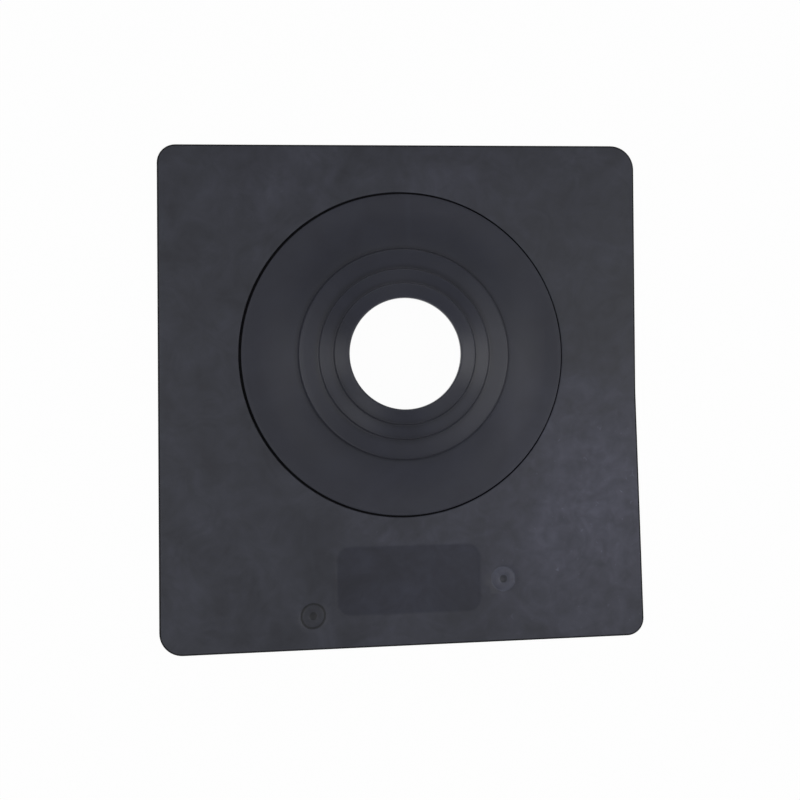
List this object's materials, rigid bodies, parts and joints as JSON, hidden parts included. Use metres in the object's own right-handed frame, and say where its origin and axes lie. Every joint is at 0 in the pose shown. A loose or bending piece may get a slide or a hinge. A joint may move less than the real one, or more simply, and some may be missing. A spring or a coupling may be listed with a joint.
{
  "type": "pipe flashing boot",
  "caption": "Roof flashing boot for a vent pipe: a flat moulded flange with a flexible, stepped bell-shaped collar whose lip stretches tightly around the pipe to shed rain.",
  "frame": {"origin": "middle of the flange's underside, which is the middle of the bottom of the box", "axes": "+Z out of the roof along the pipe, +Y up the slope along the flange's longer side, +X across the slope; the collar's axis is 25.4 mm up the slope from the origin"},
  "size_m": [0.3048, 0.3174, 0.0311],
  "materials": {
    "flange_plastic": "matte, faintly mottled moulded black thermoplastic",
    "collar_rubber": "smooth satin black elastomer"
  },
  "bodies": {
    "root": {"flange": "flange_plastic", "collar": "collar_rubber"}
  },
  "joints": []
}
